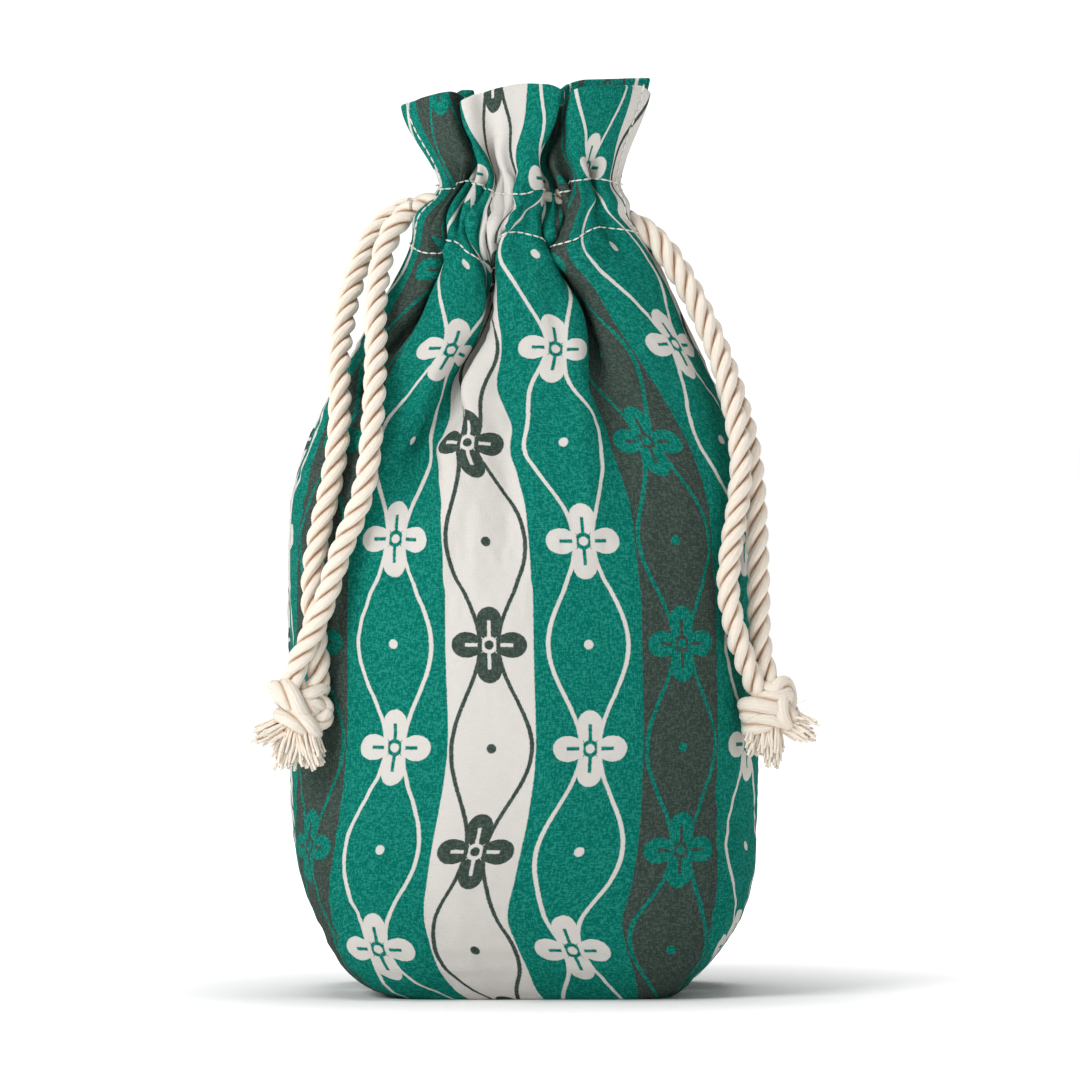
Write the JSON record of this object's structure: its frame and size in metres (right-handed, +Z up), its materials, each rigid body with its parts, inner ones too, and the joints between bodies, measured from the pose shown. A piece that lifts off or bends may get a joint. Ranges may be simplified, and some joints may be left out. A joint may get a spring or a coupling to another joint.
{
  "type": "kinchaku drawstring pouch",
  "caption": "Upright cloth drawstring pouch with a boxed flat base, a gathered double frill and a knotted twisted rope at each side.",
  "frame": {"origin": "centre of the flat base, on the surface the pouch stands on", "axes": "+Z up, -Y to the front, +X to the right seen from the front"},
  "size_m": [0.1567, 0.0964, 0.2549],
  "materials": {
    "front_canvas": "matt printed cotton canvas",
    "back_canvas": "matt printed cotton canvas",
    "cotton_rope": "matt undyed twisted cotton",
    "rope_knots": "matt undyed twisted cotton, frayed ends"
  },
  "bodies": {
    "root": {"front_panel": "front_canvas", "back_panel": "back_canvas", "drawcord_left": "cotton_rope", "drawcord_right": "cotton_rope", "knot_left": "rope_knots", "knot_right": "rope_knots"}
  },
  "joints": []
}
